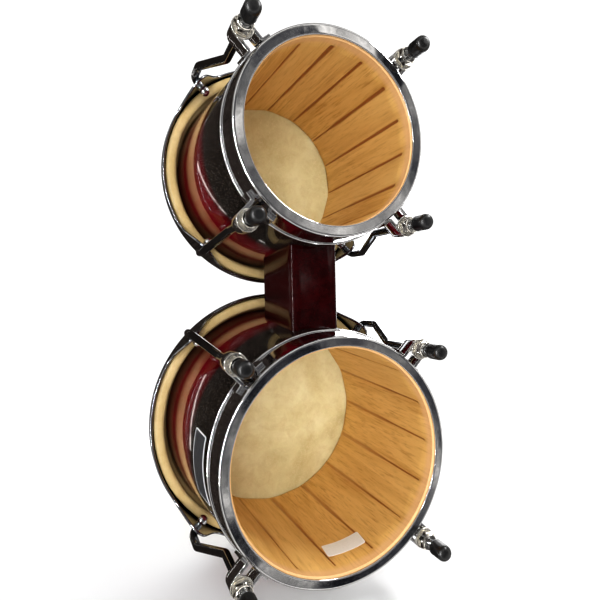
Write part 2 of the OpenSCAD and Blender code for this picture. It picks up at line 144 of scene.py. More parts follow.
class Drum:
    """Sizes and places of one drum, read from the frame."""

    def __init__(self, size, glue_turn):
        ring_low, ring_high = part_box("bottom_ring_" + size)
        shell_low, shell_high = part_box("shell_" + size)
        hoop_low, hoop_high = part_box("counterhoop_" + size)
        flesh_low, flesh_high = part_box("flesh_hoop_" + size)
        rods_low, rods_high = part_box("rods_" + size)
        nut = next(j for j in frame["joints"] if j["child"] == f"nut_{size}_1")
        self.size = size
        self.body = "hoop_" + size
        self.glue_turn = glue_turn
        self.x = (ring_low.x + ring_high.x) / 2
        self.base = ring_low.z
        self.ring_high = ring_high.z
        self.edge_z = shell_high.z
        self.height = self.edge_z - self.base
        self.foot_r = radii("shell_" + size, self.x, shell_low.z)[-1]
        self.edge_r = (shell_high.x - shell_low.x) / 2
        self.ring_hole_r = radii("bottom_ring_" + size, self.x, self.base + RING_SHEET / 2, MM)[0]
        self.hoop_r = (hoop_high.x - hoop_low.x) / 2
        self.hoop_top = hoop_high.z
        self.hoop_inside = radii("counterhoop_" + size, self.x, self.hoop_top)[0]
        self.flesh = (flesh_low.z, flesh_high.z)
        self.flesh_out = (flesh_high.x - flesh_low.x) / 2
        self.flesh_in = radii("flesh_hoop_" + size, self.x, (flesh_low.z + flesh_high.z) / 2, 4 * MM)[0]
        self.lug_r = math.hypot(nut["pos_m"][0] - self.x, nut["pos_m"][1])
        self.rod_top_r = (rods_high.x - self.x - ROD_R) * math.sqrt(2)
        self.hook_z = rods_high.z - ROD_R
        self.rod_low = rods_low.z

    def wall_out(self, z):
        """Outer radius of the shell at a height over the floor."""
        t = (z - self.base) / self.height
        return self.foot_r + (self.edge_r - self.foot_r) * t + BELLY * math.sin(math.pi * t)

    def wall_in(self, z):
        """Inner radius of the shell at a height over the floor."""
        t = (z - self.base) / self.height
        low = self.foot_r - FOOT_WALL
        return low + (self.edge_r - EDGE_WALL - low) * t

    def at(self, r, degrees, z):
        """Point at a radius and angle about the drum's axis."""
        a = math.radians(degrees)
        return (self.x + r * math.cos(a), r * math.sin(a), z)

    def local(self, angle, r, side, z):
        """Point in a lug's own directions: outward, sideways, up."""
        a = math.radians(angle)
        return (self.x + r * math.cos(a) - side * math.sin(a),
                r * math.sin(a) + side * math.cos(a), z)


DRUMS = (Drum("large", 0), Drum("small", 5))


# -------- mesh tools

def smooth(t):
    """0 below 0, 1 above 1, and a smooth step between."""
    t = min(max(t, 0), 1)
    return t * t * (3 - 2 * t)


def steps(low, high, count):
    """Even steps from low to high, both included."""
    return [low + (high - low) * i / count for i in range(count + 1)]


def arc(x, y, r, start, end, count=6):
    """Points on an arc, its angles in degrees."""
    return [(x + r * math.cos(math.radians(a)), y + r * math.sin(math.radians(a)))
            for a in steps(start, end, count)]


def rounded(corners, count=5, closed=True):
    """Outline through (x, y, radius) corners, each one rounded to its radius."""
    out = []
    last = len(corners) - 1
    for i, (x, y, r) in enumerate(corners):
        here = Vector((x, y))
        if r <= 0 or (not closed and i in (0, last)):
            out.append(tuple(here))
            continue
        back = (Vector(corners[i - 1][:2]) - here).normalized()
        ahead = (Vector(corners[(i + 1) % len(corners)][:2]) - here).normalized()
        half = back.angle(ahead) / 2
        hub = here + (back + ahead).normalized() * (r / math.sin(half))
        start = here + back * (r / math.tan(half)) - hub
        sweep = start.angle_signed(here + ahead * (r / math.tan(half)) - hub)
        for k in range(count + 1):
            turn = Matrix.Rotation(-sweep * k / count, 2)
            out.append(tuple(hub + turn @ start))
    return out


def thickened(path, t):
    """Closed outline of a sheet of thickness t along an open path of (r, z) points."""
    left, right = [], []
    for i, p in enumerate(path):
        a = Vector(path[max(i - 1, 0)])
        b = Vector(path[min(i + 1, len(path) - 1)])
        d = (b - a).normalized()
        n = Vector((-d.y, d.x)) * t / 2
        left.append(tuple(Vector(p) + n))
        right.append(tuple(Vector(p) - n))
    return left + right[::-1]


def grid_faces(rows, cols, wrap_rows, wrap_cols):
    """Quads between the points of a grid kept row by row."""
    faces = []
    for i in range(rows if wrap_rows else rows - 1):
        for j in range(cols if wrap_cols else cols - 1):
            below, beside = (i + 1) % rows, (j + 1) % cols
            faces.append((i * cols + j, i * cols + beside, below * cols + beside, below * cols + j))
    return faces


def cleaned(mesh, weld=True):
    """Turns the normals outward, after welding the points that meet where that is asked for."""
    shape = bmesh.new()
    shape.from_mesh(mesh)
    if weld:
        bmesh.ops.remove_doubles(shape, verts=shape.verts, dist=1e-7)
        bmesh.ops.dissolve_degenerate(shape, edges=shape.edges, dist=1e-8)
    bmesh.ops.recalc_face_normals(shape, faces=shape.faces)
    shape.to_mesh(mesh)
    shape.free()


def placed(name, data):
    """An object in the scene for a mesh, a light or the camera."""
    obj = bpy.data.objects.new(name, data)
    bpy.context.scene.collection.objects.link(obj)
    return obj


def smoothed(mesh, sharp=38):
    """Smooth shading, but for the edges sharper than an angle in degrees."""
    mesh.shade_smooth()
    mesh.set_sharp_from_angle(angle=math.radians(sharp))


def piece(name, verts, faces, *materials, sharp=38):
    """A mesh object with outward normals and its materials."""
    mesh = bpy.data.meshes.new(name)
    mesh.from_pydata(verts, [], faces)
    cleaned(mesh)
    for m in materials:
        mesh.materials.append(m)
    smoothed(mesh, sharp)
    return placed(name, mesh)


def keep_values(mesh, name, values, domain="POINT"):
    """Stores one number for each point or face, for a material to read."""
    mesh.attributes.new(name, "FLOAT", domain).data.foreach_set("value", values)


def lathe(name, drum, outline, finish, wobble=None, sharp=38):
    """A closed (r, z) outline turned about a drum's axis. wobble(r, angle, z) moves a point."""
    verts = []
    for r, z in outline:
        for j in range(TURN_COLUMNS):
            degrees = 360 * j / TURN_COLUMNS
            moved = wobble(r, degrees, z) if wobble else (r, z)
            verts.append(drum.at(moved[0], degrees, moved[1]))
    faces = grid_faces(len(outline), TURN_COLUMNS, True, True)
    return piece(name, verts, faces, finish, sharp=sharp)


def turned_at(drum, angle, outline, columns=40):
    """Points and faces of an (r, z) outline turned about a lug's own axis."""
    verts = []
    for r, z in outline:
        for j in range(columns):
            a = math.radians(360 * j / columns)
            verts.append(drum.local(angle, drum.lug_r + r * math.cos(a), r * math.sin(a), z))
    return verts, grid_faces(len(outline), columns, False, True)


def turned_across(drum, angle, outline, columns=32):
    """Points and faces of an (r, radius) outline turned about a rod's hook."""
    verts = []
    for r, radius in outline:
        for j in range(columns):
            a = 2 * math.pi * j / columns
            verts.append(drum.local(angle, r, radius * math.cos(a), drum.hook_z + radius * math.sin(a)))
    return verts, grid_faces(len(outline), columns, False, True)


def at_lugs(part):
    """One list of points and one of faces from a part made at each lug's angle."""
    verts, faces = [], []
    for angle in LUG_ANGLES:
        more_verts, more_faces = part(angle)
        faces += [tuple(i + len(verts) for i in f) for f in more_faces]
        verts += more_verts
    return verts, faces


def swept(path, section, place):
    """A closed section carried along a flat open path, with capped ends.

    path holds (a, b) points in the sweep's plane, section(i, point) gives (in-plane, across)
    offsets at a point of the path, and place(a, b, c) gives a point in the frame.
    """
    verts = []
    for i, p in enumerate(path):
        a = Vector(path[max(i - 1, 0)])
        b = Vector(path[min(i + 1, len(path) - 1)])
        d = (b - a).normalized()
        for u, v in section(i, p):
            verts.append(place(p[0] - d.y * u, p[1] + d.x * u, v))
    cols = len(section(0, path[0]))
    faces = grid_faces(len(path), cols, False, True)
    faces.append(tuple(range(cols))[::-1])
    faces.append(tuple(range((len(path) - 1) * cols, len(path) * cols)))
    return verts, faces


def even_path(path, step):
    """The same path with points no further apart than a step."""
    out = [path[0]]
    for a, b in zip(path, path[1:]):
        count = max(1, math.ceil(math.dist(a, b) / step))
        out += [(a[0] + (b[0] - a[0]) * k / count, a[1] + (b[1] - a[1]) * k / count)
                for k in range(1, count + 1)]
    return out


def finished(obj, body, cad_node):
    """Rides the piece on its body, and hides the CAD node that it stands for."""
    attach(obj, body)
    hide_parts(cad_node)


# -------- material tools

def node(tree, kind, settings=(), **sockets):
    """A shader node; a socket's name has _ for a space, and takes a value or another socket."""
    made = tree.nodes.new("ShaderNode" + kind)
    for key, value in dict(settings).items():
        setattr(made, key, value)
    for key, value in sockets.items():
        socket = made.inputs[int(key[1:])] if key[0] == "_" else made.inputs[key.replace("_", " ")]
        if isinstance(value, bpy.types.NodeSocket):
            tree.links.new(value, socket)
        else:
            socket.default_value = value
    return made


def material(name, **fixed):
    """A Principled material with constant values set on the shader's own sockets."""
    made = bpy.data.materials.new(name)
    made.use_nodes = True
    shader = made.node_tree.nodes["Principled BSDF"]
    for key, value in fixed.items():
        shader.inputs[key.replace("_", " ")].default_value = value
    return made, made.node_tree, shader


def spread(tree, x, y=None, z=None):
    """Object coordinates times a scale: one number, or one for each axis."""
    where = node(tree, "TexCoord").outputs["Object"]
    return node(tree, "Mapping", Vector=where, Scale=(x, y or x, z or x)).outputs["Vector"]


def clouds(tree, where, scale, detail=4, roughness=0.55, distortion=0):
    """Cloudy noise, from 0 to 1."""
    made = node(tree, "TexNoise", Vector=where, Scale=scale, Detail=detail,
                Roughness=roughness, Distortion=distortion)
    return made.outputs["Fac"]


def ramp(tree, fac, *stops):
    """Colours along a factor: stops of (place, (r, g, b))."""
    made = node(tree, "ValToRGB", Fac=fac)
    elements = made.color_ramp.elements
    while len(elements) < len(stops):
        elements.new(0.5)
    for element, (place, colour) in zip(elements, stops):
        element.position = place
        element.color = (*colour, 1)
    return made.outputs["Color"]


def levels(tree, fac, low, high, to_low=0.0, to_high=1.0):
    """A factor stretched from low..high to another range, and held at its ends."""
    made = node(tree, "MapRange", {"clamp": True}, Value=fac, From_Min=low, From_Max=high,
                To_Min=to_low, To_Max=to_high)
    return made.outputs["Result"]


def blended(tree, fac, a, b, kind="MIX"):
    """Colour a turned to colour b by a factor."""
    a, b = (c if isinstance(c, bpy.types.NodeSocket) else (*c, 1) for c in (a, b))
    return node(tree, "Mix", {"data_type": "RGBA", "blend_type": kind}, _0=fac, _6=a, _7=b).outputs[2]


def maths(tree, operation, *values):
    """A Math node's result; its values are numbers or sockets."""
    inputs = {f"_{i}": value for i, value in enumerate(values)}
    return node(tree, "Math", {"operation": operation}, **inputs).outputs[0]


def surface(tree, shader, colour, roughness, relief, strength, distance):
    """Feeds the shader its colour, its roughness and a fine relief of a height in metres."""
    raised = node(tree, "Bump", Height=relief, Strength=strength, Distance=distance)
    tree.links.new(colour, shader.inputs["Base Color"])
    tree.links.new(roughness, shader.inputs["Roughness"])
    tree.links.new(raised.outputs["Normal"], shader.inputs["Normal"])


def attribute(tree, name):
    """A number kept on the mesh by keep_values."""
    return node(tree, "Attribute", {"attribute_name": name}).outputs["Fac"]


# -------- materials

def lacquer(name, with_painted_reflections):
    """Burgundy gloss lacquer over wood; on a shell its colour carries painted reflections by height: a
    dark, finely speckled bottom zone, a brighter red band over it and darker red near the top.
    """
    made, tree, shader = material(name, Coat_Weight=0.9 if with_painted_reflections else 0.3, Coat_Roughness=0.03,
                                  Specular_IOR_Level=0.08)
    grain = clouds(tree, spread(tree, 160, 160, 9), 1, 5, 0.6, 0.3)
    colour = ramp(tree, grain, (0.3, (0.010, 0.0004, 0.0006)), (0.7, (0.026, 0.0012, 0.0018)))
    if with_painted_reflections:
        height = attribute(tree, "height")
        # Painted reflection: height bands, dark low down, bright red in the middle and darker near the
        # top, stand in for what the gloss mirrors.
        bands = ramp(tree, height, (0.42, (0.024, 0.0003, 0.001)), (0.50, (0.13, 0.0008, 0.006)),
                     (0.64, (0.17, 0.0015, 0.009)), (0.85, (0.06, 0.001, 0.003)))
        red = blended(tree, levels(tree, grain, 0.3, 0.7, 0, 0.5), bands, (0.03, 0.0005, 0.001))
        # Painted reflection: pale speckles in the dark bottom zone stand in for the speckled room seen
        # in the gloss.
        painted_reflection_speckle = clouds(tree, spread(tree, 900), 1, 2, 0.8)
        dark = ramp(tree, painted_reflection_speckle, (0.42, (0.002, 0.0015, 0.001)), (0.58, (0.012, 0.009, 0.007)),
                    (0.70, (0.11, 0.088, 0.072)))
        wander = clouds(tree, spread(tree, 30), 1, 3)
        edge = maths(tree, "MULTIPLY_ADD", wander, 0.03, height)
        # Below a wavering height the colour turns to the dark zone of painted reflection.
        colour = blended(tree, levels(tree, edge, 0.42, 0.455), dark, red)
    fine = clouds(tree, spread(tree, 240), 1, 3)
    ripple = clouds(tree, spread(tree, 55, 55, 20), 1, 2)
    surface(tree, shader, colour, levels(tree, fine, 0.3, 0.7, 0.10, 0.2), ripple, 0.03, 0.0006)
    return made


def stave_wood():
    """Bare honey-coloured staves: grain up each stave, a tone for each, brown glue between."""
    made, tree, shader = material("stave_wood", Specular_IOR_Level=0.3)
    where = spread(tree, 1)
    tone = attribute(tree, "tone")
    along = node(tree, "CombineXYZ", Z=maths(tree, "MULTIPLY", tone, 3.0)).outputs[0]
    shift = node(tree, "VectorMath", {"operation": "ADD"}, _0=where, _1=along)
    stretched = node(tree, "Mapping", Vector=shift.outputs[0], Scale=(42, 42, 3.2)).outputs[0]
    thin = node(tree, "Mapping", Vector=shift.outputs[0], Scale=(600, 600, 26)).outputs[0]
    bands = clouds(tree, stretched, 1.6, 4, 0.6, 0.8)
    fibres = clouds(tree, thin, 1, 6, 0.7)
    honey = ramp(tree, bands, (0.28, (0.55, 0.285, 0.072)), (0.45, (0.68, 0.395, 0.115)),
                 (0.60, (0.78, 0.485, 0.160)), (0.78, (0.61, 0.330, 0.086)))
    veined = blended(tree, levels(tree, fibres, 0.50, 0.66, 0, 0.7), honey, (0.40, 0.180, 0.036))
    toned = blended(tree, levels(tree, tone, 0, 1, 0, 0.45), veined, (0.82, 0.55, 0.21))
    glued = blended(tree, levels(tree, attribute(tree, "glue"), 0.05, 0.8, 0, 0.92), toned,
                    (0.30, 0.094, 0.020))
    worn = clouds(tree, spread(tree, 130), 1, 4, 0.7)
    lip = maths(tree, "MULTIPLY_ADD", worn, 0.5, attribute(tree, "lip"))
    pale = blended(tree, levels(tree, lip, 0.45, 1.0, 0, 0.62), glued, (0.84, 0.52, 0.28))
    surface(tree, shader, pale, levels(tree, fibres, 0.3, 0.7, 0.42, 0.6), fibres, 0.35, 0.0003)
    return made


def chrome(name, colour, low, high, waves=0.16):
    """Polished chrome plate: a slight waviness, smudges and fine wipe marks."""
    made, tree, shader = material(name, Metallic=1.0)
    smudge = clouds(tree, spread(tree, 26), 1, 5, 0.6, 0.4)
    tint = ramp(tree, smudge, (0.3, tuple(c * 0.86 for c in colour)), (0.7, colour))
    fine = clouds(tree, spread(tree, 300), 1, 4, 0.7)
    both = maths(tree, "MULTIPLY", smudge, fine)
    ripple = clouds(tree, spread(tree, 60), 1, 2, 0.5)
    surface(tree, shader, tint, levels(tree, both, 0.12, 0.42, low, high), ripple, waves, 0.0006)
    return made


def rawhide():
    """Cream rawhide: cloudy, faintly veined, a little light passing through."""
    made, tree, shader = material("rawhide", Subsurface_Weight=0.12, Subsurface_Scale=0.002,
                                  Subsurface_Radius=(1.0, 0.7, 0.4), Specular_IOR_Level=0.4)
    broad = clouds(tree, spread(tree, 11), 1, 5, 0.6, 0.8)
    cream = ramp(tree, broad, (0.30, (0.57, 0.52, 0.28)), (0.46, (0.69, 0.655, 0.39)),
                 (0.60, (0.77, 0.75, 0.49)), (0.74, (0.66, 0.61, 0.36)))
    mottle = clouds(tree, spread(tree, 75), 1, 6, 0.65, 0.5)
    specked = blended(tree, levels(tree, mottle, 0.42, 0.70, 0, 0.38), cream, (0.50, 0.40, 0.18))
    where = node(tree, "TexCoord").outputs["Object"]
    stir = node(tree, "TexNoise", Scale=26, Detail=4, Vector=where).outputs["Color"]
    stirred = node(tree, "VectorMath", {"operation": "ADD"}, _0=where, _1=stir).outputs[0]
    veins = node(tree, "TexVoronoi", {"feature": "DISTANCE_TO_EDGE"}, Scale=19, Vector=stirred)
    veined = blended(tree, levels(tree, veins.outputs["Distance"], 0.0, 0.05, 0.34, 0), specked,
                     (0.86, 0.78, 0.56))
    folded = blended(tree, attribute(tree, "outside"), (1, 1, 1), (0.82, 0.65, 0.51))
    hide = blended(tree, 1.0, veined, folded, "MULTIPLY")
    surface(tree, shader, hide, levels(tree, mottle, 0.3, 0.7, 0.38, 0.58), mottle, 0.25, 0.0005)
    return made


def black_rubber():
    """Glossy moulded rubber with a little dust."""
    made, tree, shader = material("black_rubber", Specular_IOR_Level=0.6)
    dust = clouds(tree, spread(tree, 90), 1, 6, 0.7)
    tint = ramp(tree, dust, (0.35, (0.004, 0.004, 0.004)), (0.75, (0.014, 0.014, 0.015)))
    pores = clouds(tree, spread(tree, 900), 1, 3)
    surface(tree, shader, tint, levels(tree, dust, 0.3, 0.7, 0.26, 0.4), pores, 0.2, 0.0001)
    return made


def label_paper(name, colour, edge):
    """Blank paper label: soft fibres and a paler rim, with nothing printed on it."""
    made, tree, shader = material(name, Specular_IOR_Level=0.4)
    fibres = clouds(tree, spread(tree, 700), 1, 4, 0.7)
    base = ramp(tree, fibres, (0.3, tuple(c * 0.9 for c in colour)), (0.7, colour))
    rim = blended(tree, levels(tree, attribute(tree, "rim"), 0.2, 0.6), base, edge)
    surface(tree, shader, rim, levels(tree, fibres, 0.3, 0.7, 0.35, 0.5), fibres, 0.15, 0.0001)
    return made


def zinc():
    """Zinc-plated steel with a crystalline bloom and rolling marks."""
    made, tree, shader = material("zinc_steel", Metallic=1.0)
    bloom = node(tree, "TexVoronoi", Vector=spread(tree, 1), Scale=260).outputs["Color"]
    tint = blended(tree, 0.18, (0.52, 0.53, 0.55), bloom, "OVERLAY")
    rolled = clouds(tree, spread(tree, 900, 900, 40), 1, 3, 0.6)
    surface(tree, shader, tint, levels(tree, rolled, 0.3, 0.7, 0.28, 0.45), rolled, 0.2, 0.0002)
    return made


SHELL_LACQUER = lacquer("shell_lacquer", True)
BLOCK_LACQUER = lacquer("block_lacquer", False)
WOOD = stave_wood()
BRIGHT = chrome("bright_chrome", (0.72, 0.72, 0.73), 0.03, 0.14)
NICKEL = chrome("nickel_plate", (0.90, 0.87, 0.80), 0.06, 0.2, 0.3)
DARK = chrome("dark_chrome", (0.34, 0.35, 0.37), 0.03, 0.12, 0.1)
HIDE = rawhide()
RUBBER = black_rubber()
ZINC = zinc()
INNER_PAPER = label_paper("white_label", (0.86, 0.85, 0.82), (0.93, 0.92, 0.90))
OUTER_PAPER = label_paper("grey_label", (0.035, 0.036, 0.040), (0.80, 0.80, 0.82))


# -------- shells

def groove_columns():
    """Angles round a shell, in degrees from its first glue line, closer together at each line."""
    near = [0, 0.35, 0.75, 1.2, 1.75, 2.5]
    flat = [5, 8, 11.25, 14.5, 17.5]
    one = near + flat + [STAVE_STEP - a for a in near[:0:-1]]
    return [i * STAVE_STEP + a for i in range(STAVES) for a in one]


def groove_depth(drum, line, offset, z):
    """How deep and dark a glue line is: widest at the lip on the small drum, at the head on the
    large one. offset is the angle from the line, in degrees."""
    pick = random.Random(f"{drum.size}{line}")
    start = drum.base + LIP_DEPTH + pick.uniform(-1, 2.5) * MM
    t = (z - start) / (drum.edge_z - start)
    if drum.size == "small":
        width = pick.uniform(1.4, 2.3) * (1.1 - 0.5 * t)
        strength = 1 - 0.25 * smooth(t)
    else:
        width = pick.uniform(0.5, 0.8) + pick.uniform(1.0, 1.7) * smooth(1.3 * t)
        strength = 0.95 - 0.5 * smooth(1.3 * t)
    swell = 0.8 + 0.5 * noise.noise(Vector((line * 3.7, z * 30, drum.x * 40)))
    rise = smooth((z - start) / (2.5 * MM))
    return smooth(1.5 * (1 - offset / (width * swell))) * rise * strength


def shell_outside(drum):
    """The lacquered outside of a shell, up to its bearing edge, as (r, z) points."""
    shoulder = drum.edge_z - EDGE_ROUND
    outline = [(drum.wall_out(z), z) for z in steps(drum.base + RING_SHEET, shoulder, 24)]
    outline += arc(drum.wall_out(shoulder) - EDGE_ROUND, shoulder, EDGE_ROUND, 12, 90, 6)
    top_r = drum.wall_in(drum.edge_z)
    return outline + [(top_r + 3 * MM, drum.edge_z), (top_r + 1.2 * MM, drum.edge_z - 1.6 * MM)]


def inside_heights(drum):
    """Heights up the inside of a shell, closer together where the turned lip ends."""
    low = drum.base + RING_SHEET
    lip = drum.base + LIP_DEPTH
    heights = [low, low + 1.2 * MM, low + 3 * MM, low + 6 * MM]
    heights += steps(lip - 2 * MM, lip + 6 * MM, 7)
    return heights + steps(lip + 10 * MM, drum.edge_z - 4 * MM, 22)


def inside_radius(drum, z, from_middle):
    """Radius of the inside at an angle from a stave's middle: flat, but turned at the lip."""
    flat = (drum.wall_in(z) - 0.3 * MM) / math.cos(from_middle)
    turned = drum.wall_in(z) + 0.7 * MM
    fade = smooth((z - drum.base - LIP_DEPTH + 4 * MM) / (9 * MM))
    r = turned + (flat - turned) * fade
    if z == drum.base + RING_SHEET:
        r += FOOT_BEVEL
    return r


def shell_points(drum, columns, outside, inside):
    """Points of a shell, column by column, and each one's glue, lip and height values."""
    verts, values = [], []
    for degrees in columns:
        line = round((degrees - drum.glue_turn) / STAVE_STEP) % STAVES
        offset = abs((degrees - drum.glue_turn + STAVE_STEP / 2) % STAVE_STEP - STAVE_STEP / 2)
        from_middle = math.radians(STAVE_STEP / 2 - offset)
        for r, z in outside:
            verts.append(drum.at(r, degrees, z))
            values.append((0, 0, (z - drum.base) / drum.height))
        for z in inside:
            depth = groove_depth(drum, line, offset, z)
            r = inside_radius(drum, z, from_middle) + depth * GLUE_DEPTH
            verts.append(drum.at(r, degrees, z))
            values.append((depth, 1 - smooth((z - drum.base - 3 * MM) / (13 * MM)), 0))
    return verts, values


def shell(drum):
    """A stave shell: flat bare staves inside, turned lip, lacquered round outside."""
    outside = shell_outside(drum)
    inside = inside_heights(drum)[::-1]
    columns = [a + drum.glue_turn for a in groove_columns()]
    verts, values = shell_points(drum, columns, outside, inside)
    rows = len(outside) + len(inside)
    faces = grid_faces(len(columns), rows, True, True)
    mesh = bpy.data.meshes.new(drum.size + "_shell")
    mesh.from_pydata(verts, [], faces)
    for i, name in enumerate(("glue", "lip", "height")):
        keep_values(mesh, name, [value[i] for value in values])
    tones = [random.Random(f"{drum.size}tone{k}").random() for k in range(STAVES)]
    stave_faces = rows * len(columns) // STAVES
    keep_values(mesh, "tone", [tones[i // stave_faces] for i in range(len(faces))], "FACE")
    mesh.materials.append(WOOD)
    mesh.materials.append(SHELL_LACQUER)
    lacquered = len(outside) - 3
    mesh.polygons.foreach_set("material_index", [int(i % rows < lacquered) for i in range(len(faces))])
    cleaned(mesh, weld=False)
    smoothed(mesh, 40)
    finished(placed(mesh.name, mesh), "shells", "shell_" + drum.size)


# -------- bottom ring and lugs

def ring_out(drum, z):
    """Outer radius of the ring's side band."""
    return drum.wall_out(z) + RING_GAP + RING_SHEET


def bottom_ring(drum):
    """Angle ring with rounded edges and a rolled bead on its band."""
    b = drum.base
    outer = drum.foot_r + RING_GAP + RING_SHEET
    band_top = drum.ring_high - BEAD_R
    bead = drum.wall_out(band_top) + 0.15 * MM + BEAD_R
    hole = drum.ring_hole_r
    edge, k = 0.8 * MM, 1.8 * MM
    outline = arc(hole + edge, b + edge, edge, 180, 270, 5)
    outline += [(r, b) for r in steps(hole + 1.4 * MM, outer - k - 0.6 * MM, 5)]
    outline += arc(outer - k, b + k, k, -90, 0, 7)
    outline += [(ring_out(drum, z), z) for z in steps(b + 4 * MM, band_top - 2.2 * MM, 6)]
    outline += arc(bead, band_top, BEAD_R, -100, 190, 14)
    outline += [(drum.wall_out(z) + RING_GAP, z) for z in steps(band_top - BEAD_R, b + 2.4 * MM, 5)]
    outline += [(r, b + RING_SHEET) for r in steps(outer - 2.4 * MM, hole + 1.4 * MM, 2)]
    outline += arc(hole + edge, b + RING_SHEET - edge, edge, 90, 180, 4)
    obj = lathe(drum.size + "_bottom_ring", drum, outline, BRIGHT)
    finished(obj, "shells", "bottom_ring_" + drum.size)


def rectangle(x0, y0, x1, y1, k, count):
    """Outline of a rectangle whose corners are rounded to a radius k."""
    return rounded([(x0, y0, k), (x1, y0, k), (x1, y1, k), (x0, y1, k)], count)


def lug_path(drum, z):
    """Middle line of a lug's strap seen from above: foot, leg, bend, leg, foot."""
    half = STRAP_R + STRAP_T / 2
    r = ring_out(drum, z) + STRAP_T / 2
    foot = LUG_FOOT / r
    lead = [(r * math.cos(a), r * math.sin(a)) for a in steps(-foot, -foot * 0.72, 3)]
    root = math.sqrt(r * r - half * half)
    bend = arc(drum.lug_r, 0, half, -90, 90, 18)
    turn = rounded([(*lead[-1], 0), (root, -half, 1.6 * MM), (drum.lug_r - MM, -half, 0)],
                   5, closed=False)
    one_side = lead[:-1] + turn[:-1]
    return one_side + bend + [(a, -b) for a, b in one_side[::-1]]


def lugs(drum):
    """Four U-shaped straps with feet curved to the ring's band."""
    low, high = span("lugs_" + drum.size)
    mid = (low + high) / 2
    across = (high - low) / 2
    outline = rectangle(-STRAP_T / 2, -across, STRAP_T / 2, across, 0.5 * MM, 3)
    slope = (ring_out(drum, high) - ring_out(drum, low)) / (high - low)
    near = drum.foot_r + 8 * MM

    def lug(angle):
        def place(a, b, c):
            lean = slope * c * smooth((near - math.hypot(a, b)) / (3 * MM) + 1)
            return drum.local(angle, a + lean, b, mid + c)
        return swept(lug_path(drum, mid), lambda i, point: outline, place)

    obj = piece(drum.size + "_lugs", *at_lugs(lug), BRIGHT, sharp=50)
    finished(obj, "shells", "lugs_" + drum.size)


def washers(drum):
    """Lug washers with rounded rims."""
    low, high = span("lug_washers_" + drum.size)
    bore = ROD_R + 0.3 * MM
    outline = rounded([(bore, low, 0.2 * MM), (WASHER_R, low, 0.6 * MM), (WASHER_R, high, 0.4 * MM),
                       (bore, high, 0.2 * MM)], 4)
    outline.append(outline[0])
    parts = at_lugs(lambda angle: turned_at(drum, angle, outline))
    obj = piece(drum.size + "_lug_washers", *parts, NICKEL)
    finished(obj, "shells", "lug_washers_" + drum.size)


def hexagon(degrees):
    """Radius of a nut's hexagon at an angle."""
    return NUT_FLATS / 2 / math.cos(math.radians((degrees + 30) % 60 - 30))


def nut(drum, k):
    """Chamfered hexagon nut with a round collar below it."""
    name = f"nut_{drum.size}_{k + 1}"
    low, high = span(name)
    bore = ROD_R + 0.1 * MM
    flat = NUT_FLATS / 2
    corner = flat / math.cos(math.radians(30))
    outline = [(bore, low), (bore + 0.4 * MM, low), (flat - 0.6 * MM, low),
               (flat - 0.3 * MM, low + 0.3 * MM), (flat - 0.3 * MM, low + 1.2 * MM),
               (flat - 0.25 * MM, low + 1.35 * MM), (flat + 0.2 * MM, low + 1.5 * MM),
               (corner - 0.5 * MM, low + 2.0 * MM), (corner, low + 2.35 * MM)]
    outline += [(corner, z) for z in steps(low + 2.7 * MM, high - 1.2 * MM, 3)]
    outline += [(corner - 0.4 * MM, high - 0.5 * MM), (flat - 0.1 * MM, high), (bore, high), (bore, low)]
    verts = []
    columns = 96
    for r, z in outline:
        for j in range(columns):
            degrees = 360 * j / columns
            reach = min(r, hexagon(degrees)) if z > low + 1.3 * MM else r
            a = math.radians(degrees)
            verts.append(drum.local(LUG_ANGLES[k], drum.lug_r + reach * math.cos(a),
                                    reach * math.sin(a), z))
    faces = grid_faces(len(outline), columns, False, True)
    obj = piece(name + "_visual", verts, faces, NICKEL, sharp=25)
    finished(obj, name, name)


# -------- tuning rods

def rod_section(drum, z):
    """Radius of a rod's surface round its axis, with its screw thread inside the lug."""
    sides = 24
    low, high = drum.base - 14 * MM, drum.base + THREAD_TOP
    threaded = smooth((z - low) / MM) * smooth((high - z) / MM)
    ring = []
    for j in range(sides):
        wave = abs(((z / THREAD_PITCH + j / sides) % 1) - 0.5) * 2
        r = ROD_R - threaded * wave * THREAD_DEPTH
        a = 2 * math.pi * j / sides
        ring.append((r * math.cos(a), r * math.sin(a)))
    return ring


def rods(drum):
    """Four bent rods: hooked through the ears, kinked in to the lugs, threaded at the lower end."""
    corners = [(drum.hoop_r - HOOK_IN, drum.hook_z, 0), (drum.rod_top_r, drum.hook_z, ROD_BEND),
               (drum.rod_top_r, drum.base + UPPER_BEND, ROD_BEND),
               (drum.lug_r, drum.base + LOWER_BEND, ROD_BEND), (drum.lug_r, drum.rod_low, 0)]
    path = rounded(corners, 10, closed=False)
    plain = [p for p in path if p[1] > drum.base + THREAD_TOP + MM]
    thread = even_path([(drum.lug_r, drum.base + THREAD_TOP + 0.5 * MM), (drum.lug_r, drum.rod_low)],
                       THREAD_PITCH / 4)
    path = even_path(plain, 6 * MM) + thread

    def section(i, point):
        return rod_section(drum, point[1] if i > len(path) - len(thread) else drum.edge_z)

    parts = at_lugs(lambda angle: swept(path, section, lambda a, b, c: drum.local(angle, a, c, b)))
    obj = piece(drum.size + "_rods", *parts, DARK, sharp=60)
    finished(obj, drum.body, "rods_" + drum.size)


def rod_balls(drum):
    """The ball on each hooked end, inside its ear."""
    centre = drum.hoop_r - 5.4 * MM - BALL_R + 0.8 * MM
    cut = 36
    outline = arc(0, 0, BALL_R, 180, cut, 18) + [(BALL_R * math.cos(math.radians(cut)), 0)]
    outline = [(centre + a, b) for a, b in outline]
    parts = at_lugs(lambda angle: turned_across(drum, angle, outline))
    obj = piece(drum.size + "_rod_balls", *parts, BRIGHT)
    finished(obj, drum.body, "rod_balls_" + drum.size)


